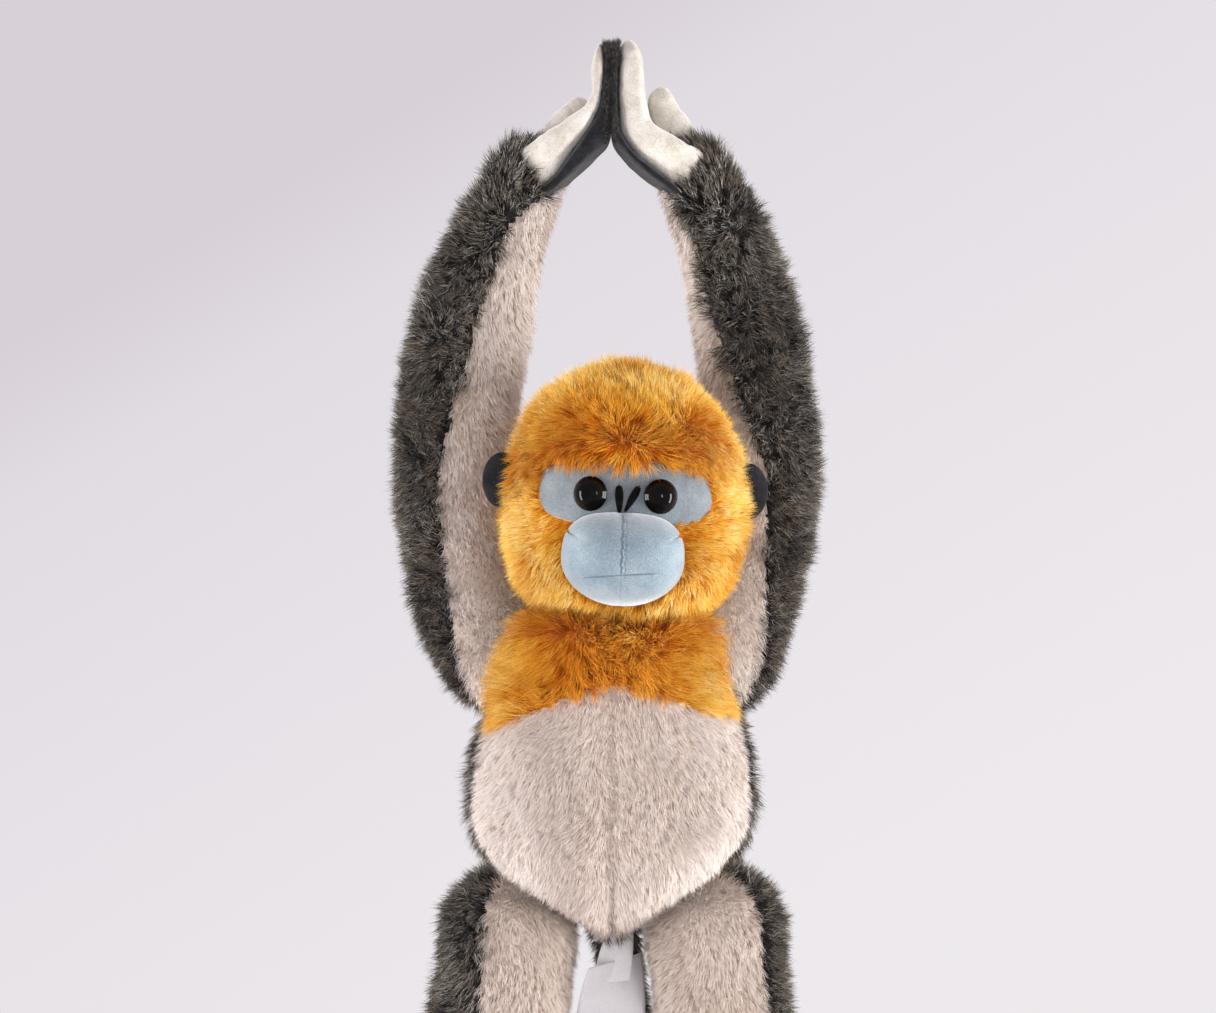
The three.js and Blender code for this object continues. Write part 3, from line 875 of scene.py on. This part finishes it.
def tube(name, points, radius, material, sides=8):
    """A round thread along points, with tapered ends."""
    points = np.asarray(points, float)
    way = unit(np.gradient(points, axis=0))
    side = unit(np.cross(way, [0.13, 0.2, 0.97]))
    up = np.cross(side, way)
    share = np.clip(np.minimum(np.arange(len(points)), np.arange(len(points))[::-1]) / 2 + 0.25, 0, 1)
    turn = circle(sides)
    rings = points[:, None] + radius * share[:, None, None] * (
        side[:, None] * np.cos(turn)[None, :, None] + up[:, None] * np.sin(turn)[None, :, None]
    )
    faces = grid_faces(len(points), sides) + cap_faces(len(points), sides)
    return mesh_of(name, rings.reshape(-1, 3), faces, [material])


def make_stitches():
    t = np.linspace(-1, 1, 33)
    x = t * 16 * MM - 1.2 * MM
    z = mouth_height(x)
    inner = 1 - (x / MUZZLE_HALF[0]) ** 2 - ((z - MUZZLE_AT[2]) / MUZZLE_HALF[2]) ** 2
    y = MUZZLE_AT[1] - MUZZLE_HALF[1] * np.sqrt(inner) + (0.75 + 0.55 * np.exp(-((x / 0.003) ** 2))) * MM
    mouth = tube("mouth_thread", to_world(np.column_stack([x, y, z])), 0.26 * MM, MOUTH_THREAD)
    attach(mouth, "head", "embroidery_thread", "mouth_stitch")
    for side, at, lean, wide in (("right", (-2.6, 47.9), 3, 2.0), ("left", (2.9, 48.4), -27, 1.9)):
        make_nostril(side, at, lean, wide)


def make_nostril(side, at, lean, wide):
    """One embroidered nostril: satin stitches laid side by side across a drop."""
    points, faces = [], []
    tall, count, sides = 6.2, 21, 7
    for k in range(count):
        v = k / (count - 1) * 2 - 1
        half = wide * math.sqrt(max(0, 1 - v * v)) * (0.72 + 0.28 * v) + 0.25
        base = len(points)
        across = np.linspace(-1, 1, 7)
        for a in across:
            for s in range(sides):
                turn = 2 * math.pi * s / sides
                lift = 1.15 * math.sqrt(1 - 0.9 * a * a)
                px, pz = a * half, v * tall + 0.36 * math.sin(turn)
                points.append((px, -(lift + 0.36 * math.cos(turn)), pz))
        faces += [tuple(base + i for i in f) for f in grid_faces(len(across), sides)]
    p = np.array(points) * MM
    c, s = math.cos(math.radians(lean)), math.sin(math.radians(lean))
    x, z = p[:, 0] * c - p[:, 2] * s, p[:, 0] * s + p[:, 2] * c
    curve = (FACE + 1.1 * MM) - np.sqrt((FACE + 1.1 * MM) ** 2 - (x + at[0] * MM) ** 2)
    place = np.column_stack([x + at[0] * MM, p[:, 1] - FACE + curve, z + at[1] * MM])
    stitch = mesh_of(f"nostril_embroidery_{side}", to_world(place), faces, [THREAD])
    attach(stitch, "head", "embroidery_thread", f"nostril_stitch_{side}")


def eye_material():
    """Black plastic with a faint brown ring, placed by the lathe's own radius."""
    m = principled("eye_plastic", (10, 6, 5), 0.05, Specular_IOR_Level=0.13)
    shader = m.node_tree.nodes["Principled BSDF"]
    ring = node(m, "Attribute", attribute_name="radius")
    place = node(m, "TexCoord")
    fleck = node(m, "TexNoise", Scale=900.0, Detail=3.0)
    wire(m, place, "Object", fleck, "Vector")
    tone = node(m, "ValToRGB")
    stops = ((0.0, (2, 2, 2)), (0.6, (3, 2, 2)), (0.74, (11, 6, 4)), (0.88, (17, 9, 5)), (0.96, (3, 2, 2)))
    set_stops(tone, stops)
    add = node(m, "Math", operation="MULTIPLY_ADD")
    add.inputs[1].default_value = 0.08
    wire(m, fleck, "Fac", add, 0)
    m.node_tree.links.new(ring.outputs["Fac"], add.inputs[2])
    wire(m, add, "Value", tone, "Fac")
    wire(m, tone, "Color", shader, "Base Color")
    return m


def make_eyes():
    material = eye_material()
    # radius and height of the dome, its rim and its stem, in millimetres
    dome = [
        (0, 5.6), (1.2, 5.52), (2.4, 5.3), (3.6, 4.9), (4.7, 4.3), (5.6, 3.6), (6.3, 2.85), (6.8, 2.1),
        (7.1, 1.5), (7.45, 1.2), (7.6, 0.7), (7.5, 0.2), (7.2, 0.0), (5.0, -0.3), (2.2, -0.3), (2.2, -8.0),
        (0.0, -8.4),
    ]
    columns = 72
    around = circle(columns)
    for side, sign in SIDES:
        profile = np.array(dome[::-1]) * MM
        profile[profile[:, 0] <= 0, 0] = 0.02 * MM
        local = np.stack([
            np.outer(profile[:, 0], np.cos(around)), np.repeat(-profile[:, 1:2] - FACE, columns, 1),
            np.outer(profile[:, 0], np.sin(around)),
        ], 2).reshape(-1, 3)
        c, s = math.cos(sign * EYE_TURN), math.sin(sign * EYE_TURN)
        turned = np.column_stack([
            local[:, 0] * c - local[:, 1] * s, local[:, 0] * s + local[:, 1] * c, local[:, 2] + EYE_HEIGHT,
        ])
        eye = mesh_of(f"eye_dome_{side}", to_world(turned), grid_faces(len(profile), columns), [material])
        radius = eye.data.attributes.new("radius", "FLOAT", "POINT")
        radius.data.foreach_set("value", np.repeat(profile[:, 0], columns).astype(np.float32) / EYE_RADIUS)
        attach(eye, "head", "eye_plastic", f"eye_{side}")


def make_ears():
    """A round flap of velboa with a padded rim and a hollow front."""
    for side, sign in SIDES:
        low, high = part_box(f"ear_{side}")
        middle, half = (np.array(low) + np.array(high)) / 2, (np.array(high) - np.array(low)) / 2
        ball = ball_points(33, 64)
        hollow = 1 - 0.75 * np.exp(-((ball[:, 0] ** 2 + ball[:, 2] ** 2) / 0.28)) * (ball[:, 1] < 0)
        shape = ball * np.array([1.55, 0.62, 1.02]) * half
        shape[:, 1] *= hollow
        shape[:, 0] -= sign * 0.0018
        shape[:, 1] += 0.0016 * smooth(shape[:, 0] * sign, -0.002, 0.006)
        faces = [f[::-1] for f in grid_faces(33, 64)]
        ear = mesh_of(f"ear_flap_{side}", middle + shape, faces, [CHARCOAL_VELBOA])
        attach(ear, "head", "charcoal_velboa", f"ear_{side}")


# ---- hands and feet
# Each row is one place along a hand, wrist first, in millimetres outwards and up from where the palms meet:
# the palm's face, the seam between palm and back, the back's face, then the middle's Y and half the width.
# The toy's right hand is stuffed thinner and is bent more sharply at its heel.
HAND_ROWS = {
    "left": (
        ((35, -22), (36.5, -19.5), (43, -9), 11, 8), ((30, -25.5), (32.3, -22.3), (42.5, -5.5), 8.5, 13),
        ((23.5, -21.3), (25.8, -18.5), (38, -2.5), 6, 15.5),
        ((15, -15.3), (17.5, -12.6), (31, 0.5), 5, 17.5), ((7, -8), (9.2, -5.6), (24, 4.5), 4.5, 18.5),
        ((1.1, 0.5), (4.4, 3.2), (18.8, 9), 4.2, 18.5), ((0.05, 12), (3.5, 13), (16.8, 15), 4, 18),
        ((0.05, 25), (3.3, 25), (15.8, 25), 4, 17), ((0.1, 37), (3.6, 37), (14.6, 37.5), 4, 15),
        ((1.6, 45), (4.4, 46), (11, 47), 4, 10),
    ),
    "right": (
        ((35, -21), (37, -18), (43, -8), 11, 8), ((29, -25), (32, -21.5), (42, -4), 8.5, 13),
        ((22, -20), (25.6, -16.6), (37, -1.5), 6.5, 15), ((14.6, -13.6), (19.8, -8.8), (30, 4), 5.5, 17),
        ((8, -7.5), (14, -0.5), (22, 8.5), 5, 18), ((1.3, 0.5), (8.2, 8.8), (14.8, 13), 4.5, 18.5),
        ((0.05, 11), (5.3, 15.5), (10.6, 18), 4, 18), ((0.05, 22), (4.1, 23.5), (8.8, 25), 4, 17),
        ((0.1, 35), (3.4, 36), (8.4, 37), 4, 15), ((1.3, 44.2), (3.4, 45.2), (6.8, 46), 4, 10),
    ),
}
# each thumb's middle, outwards, back and up, and half its width
THUMB_ROWS = {
    "left": (
        (34, 12, -7, 9.5), (30.5, 15, 4, 9), (26, 16.5, 13.5, 8), (22.5, 17, 21, 6.6), (20.5, 17.5, 27, 4),
    ),
    "right": (
        (32, 12, -5, 9), (26, 15, 4, 8), (20, 16.5, 12, 6.8), (15, 17, 18, 5.6), (12.5, 17.5, 22.5, 3.4),
    ),
}
# where each hook-and-loop patch lies on its palm: its lowest and highest Y and Z
PATCH = np.array([(-5.6, 13.6), (12.4, 35.6)]) * MM


def along_curve(rows, count):
    """Rows of numbers read off a Catmull-Rom curve through the given ones."""
    rows = np.array(rows, float)
    padded = np.vstack([2 * rows[0] - rows[1], rows, 2 * rows[-1] - rows[-2]])
    t = np.linspace(0, len(rows) - 1 - 1e-6, count)
    k = t.astype(int)
    f = (t - k)[:, None]
    a, b, c, d = (padded[k + i] for i in range(4))
    return 0.5 * (2 * b + (c - a) * f + (2 * a - 5 * b + 4 * c - d) * f**2 + (3 * b - a - 3 * c + d) * f**3)


def pillow(low, high, y, wide, sign, boxy, sides=48):
    """A closed loft whose sections lie between two lines in a hand's own plane; its ends are round."""
    count = len(low)
    t = circle(sides)
    flat, deep = (np.sign(f(t)) * np.abs(f(t)) ** boxy for f in (np.cos, np.sin))
    end = np.sqrt(1 - np.clip((np.arange(count) - (count - 7)) / 6.1, 0, 1) ** 2)
    end[0] = 0.05
    middle, half = (low + high) / 2, (high - low) / 2 * end[:, None]
    points = np.empty((count, sides, 3))
    for axis, column in ((0, 0), (2, 1)):
        points[:, :, axis] = middle[:, column, None] + half[:, column, None] * flat
    points[:, :, 1] = y[:, None] + (wide * (0.25 + 0.75 * end))[:, None] * deep
    points = points.reshape(-1, 3) * np.array([sign, 1, 1]) * MM
    faces = grid_faces(count, sides) + cap_faces(count, sides)
    return points, faces if sign < 0 else [f[::-1] for f in faces]


# the longer nap at a palm's fingertips and along its front edge
NAP = {
    **GREY, "spacing": 1.3 * MM, "each": 7, "length": 3.4 * MM, "width": 0.2 * MM, "pull": 0.2,
    # its darker foot shades are partly painted shade at the roots, as in the other looks
    "curl": 0.35, "parts": ((0, 0, 1), (1, 6, 2, 3)),
    "trim": lambda p, n: 0.4 + 0.6 * smooth(p[:, 2], 0.03, 0.04),
}
# how far a palm keeps from the plane where the hands meet: bare, and under its patch
PALM_GAP, PATCH_GAP = 0.06 * MM, 0.35 * MM


def hand_top(side, sign, seam, back, y, wide):
    """The off-white back of a hand and its thumb, with folds in the cloth."""
    thumb = along_curve(THUMB_ROWS[side], 40)
    across = thumb[:, 3:4] * np.array([0.83, 0.56])
    middle = thumb[:, [0, 2]]
    shells = [
        pillow(seam - 0.2 * unit(back - seam), back, y, wide, sign, 0.55),
        pillow(middle - across, middle + across, thumb[:, 1], thumb[:, 3] * 0.95, sign, 0.9),
    ]
    top = remeshed(merged(f"hand_back_cloth_{side}", shells), 0.6 * MM, 5)
    points = points_of(top.data)
    folds = np.abs(lumps(points * np.array([1, 0.5, 1]), 0.013, 24)) ** 0.5
    fine = 0.35 * lumps(points, 0.011, 21) + 0.14 * lumps(points, 0.0028, 22)
    move_out(top, (fine + 0.7 * folds - 0.5) * MM)
    paint(top, CREAM_VELBOA)
    return top


def hand_palm(side, sign, face, seam, y, wide):
    """The charcoal palm, which stops just short of the other hand's, and further off under its patch."""
    shells = [pillow(face, seam + 0.2, y, wide * 1.02, sign, 0.6)]
    palm = remeshed(merged(f"palm_cloth_{side}", shells), 0.65 * MM, 3)
    points = points_of(palm.data)
    off_patch = smooth(np.abs(points[:, 0]), 0.001, 0.003)
    move_out(palm, 0.12 * MM * lumps(points, 0.0028, 23) * off_patch)
    points = points_of(palm.data)
    out = points[:, 0] * sign
    out = np.maximum(out - 0.45 * MM * smooth(-out, -0.006, -0.001), PALM_GAP)
    under = (np.abs(points[:, 1:] - PATCH.mean(1)) < np.diff(PATCH)[:, 0] / 2).all(1) & (out < 0.002)
    points[:, 0] = sign * np.where(under, np.maximum(out, PATCH_GAP), out)
    set_points(palm.data, points)
    paint(palm, CHARCOAL_VELBOA)
    return palm


def make_hands():
    """Each hand: an off-white back with its thumb, a charcoal palm, and the palm's longer nap."""
    for side, sign in SIDES:
        rows = along_curve([(*a, *b, *c, y, w) for a, b, c, y, w in HAND_ROWS[side]], 72)
        face, seam, back, y, wide = rows[:, 0:2], rows[:, 2:4], rows[:, 4:6], rows[:, 6], rows[:, 7]
        top = hand_top(side, sign, seam, back, y, wide)
        palm = hand_palm(side, sign, face, seam, y, wide)

        def has_nap(p, n, sign=sign):
            tip, front_edge = p[:, 2] > 0.037, (p[:, 2] > -0.002) & (p[:, 1] < -0.007)
            return (tip | front_edge) & (p[:, 0] * sign < 0.0035)

        comb = combed(0.1 * sign, -0.2, 0.8)
        nap = fur(f"palm_nap_{side}", Skin(*arrays_of(palm.data)), has_nap, comb, NAP)
        body = f"hand_{side}"
        attach(top, body, "cream_velboa", f"hand_back_{side}", f"hand_stuffing_{side}")
        attach(palm, body, "charcoal_velboa", f"palm_{side}")
        attach(nap, body, "charcoal_velboa", f"palm_{side}")


def make_feet():
    """Each foot: an off-white top, grown a little over its edge, and a charcoal sole."""
    for side, _ in SIDES:
        tops, soles = (f"foot_top_{side}", f"foot_stuffing_{side}"), (f"foot_sole_{side}",)
        for name, nodes, material, slot, grow in (
            ("foot_top_cloth", tops, CREAM_VELBOA, "cream_velboa", 0.3 * MM),
            ("foot_sole_cloth", soles, CHARCOAL_VELBOA, "charcoal_velboa", 0.0),
        ):
            piece = move_out(node_copy(f"{name}_{side}", nodes, 1.1 * MM), grow)
            paint(piece, material)
            attach(piece, f"foot_{side}", slot, *nodes)


def paint_carried():
    """Paints the CAD nodes that show as they are: the palms' patches and the eyes' washers."""
    paint(frame["nodes"]["loop_patch_left"], HOOK_TAPE)
    paint(frame["nodes"]["hook_patch_right"], HOOK_TAPE)
    for side, _ in SIDES:
        paint(frame["nodes"][f"eye_washer_{side}"], WASHER)


# ---- label
def make_label():
    """A blank satin care label: a wide leaf and a narrower strip, sewn into the seam between the legs."""
    low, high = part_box("care_label")
    satin = cloth(
        "label_satin", (246, 246, 248), (250, 250, 251), (253, 253, 253), 0.0008, 0.0001, 0.01, 0.42, 246,
        Sheen_Weight=0.4, Specular_IOR_Level=0.45,
    )
    # name, width, length, drop below the seam, shift aside and bow, in millimetres
    leaves = (("care_label_leaf", 33, 46, 14, 0.5, 2.2), ("care_label_strip", 17, 24, 0, 2.5, 1.2))
    for name, width, tall, drop, aside, bow in leaves:
        rows, columns = 40, 20
        v, u = np.meshgrid(np.linspace(0, 1, rows), np.linspace(-1, 1, columns), indexing="ij")
        turn = 0.75 * (1 - v) ** 1.5
        x = (low.x + high.x) / 2 + (u * width / 2 * np.cos(turn) + aside + 3.5 * (0.5 - v)) * MM
        z = high.z + (7 - drop - v * tall + 1.4 * u * (1 - 0.5 * v)) * MM
        y = (low.y + high.y) / 2 + (bow * np.sin(v * 5 + u * 0.8) * v + width / 2 * u * np.sin(turn)) * MM
        points = np.stack([x, y, z], 2).reshape(-1, 3)
        leaf = mesh_of(name, points, grid_faces(rows, columns, False), [satin])
        thicken(leaf, 0.25 * MM)
        stands_for = ["care_label"] if name == "care_label_leaf" else []
        attach(leaf, "body", "label_satin", *stands_for)


# ---- stage, light and camera
CLEARANCE = 0.045


def make_stage():
    """A round pale floor that the toy's feet hang clear of."""
    low, _ = cad_box
    columns = 96
    # radius of each ring and its height above the floor, from the middle outwards
    rings = [(0.02, 0), (0.3, 0), (0.60, 0), (0.64, -0.001), (0.66, -0.006)]
    points = [
        (r * math.cos(a), r * math.sin(a), low.z - CLEARANCE + dz)
        for r, dz in rings[::-1]
        for a in circle(columns)
    ]
    faces = grid_faces(len(rings), columns) + cap_faces(len(rings), columns)[1:]
    floor_paint = cloth(
        "pale_floor", (214, 210, 216), (218, 214, 220), (222, 218, 224), 0.004, 0.0001, 0.2, 0.6,
    )
    mesh_of("floor", points, faces, [floor_paint])


def area(name, at, target, size, power, colour=(1, 1, 1)):
    light = bpy.data.lights.new(name, "AREA")
    light.shape = "RECTANGLE"
    light.size, light.size_y = size
    light.energy = power
    light.color = colour
    lamp = bpy.data.objects.new(name, light)
    lamp.location = at
    lamp.rotation_euler = (Vector(target) - Vector(at)).to_track_quat("-Z", "Y").to_euler()
    bpy.context.scene.collection.objects.link(lamp)


def make_light():
    world = bpy.data.worlds.new("studio")
    bpy.context.scene.world = world
    world.use_nodes = True
    tree = world.node_tree
    background = tree.nodes["Background"]
    place = tree.nodes.new("ShaderNodeTexCoord")
    across = tree.nodes.new("ShaderNodeVectorMath")
    across.operation = "DOT_PRODUCT"
    across.inputs[1].default_value = (1.4, 0, -2.3)
    tree.links.new(place.outputs["Generated"], across.inputs[0])
    tone = tree.nodes.new("ShaderNodeValToRGB")
    set_stops(tone, (
        (0.0, (215, 208, 215)), (0.16, (225, 220, 225)), (0.5, (231, 226, 231)), (1.0, (237, 233, 236)),
    ))
    spread = tree.nodes.new("ShaderNodeMath")
    spread.inputs[1].default_value = 0.5
    tree.links.new(across.outputs["Value"], spread.inputs[0])
    tree.links.new(spread.outputs[0], tone.inputs["Fac"])
    tree.links.new(tone.outputs["Color"], background.inputs["Color"])
    background.inputs["Strength"].default_value = 1.0
    middle = (0, 0, -0.25)
    area("front", (0.0, -1.5, 0.1), middle, (1.0, 1.0), 0.3)
    area("key", (0.45, -1.12, -0.1), middle, (0.1, 0.3), 1.8, (1, 0.99, 0.97))
    area("left", (-1.05, -0.33, -0.34), middle, (0.24, 0.8), 13.5, (1, 0.985, 0.955))
    area("right", (1.1, -0.33, -0.34), middle, (0.24, 0.8), 17, (1, 0.985, 0.955))
    area("back", (0.0, 1.2, 0.7), middle, (1.0, 0.5), 8)
    settings = bpy.context.scene.view_settings
    settings.view_transform = "Standard"
    settings.look = "None"


def make_camera():
    camera = bpy.data.cameras.new("camera")
    camera.lens = 70.2
    camera.sensor_width = 36
    holder = bpy.data.objects.new("camera", camera)
    holder.location = (-0.0014, -1.09, -0.168)
    holder.rotation_euler = (math.radians(90), 0, 0)
    bpy.context.scene.collection.objects.link(holder)
    bpy.context.scene.camera = holder


make_camera()
make_light()
make_stage()
make_trunk()
make_limbs()
make_tail()
make_head()
make_mask()
make_muzzle()
make_stitches()
make_eyes()
make_ears()
make_hands()
make_feet()
paint_carried()
make_label()
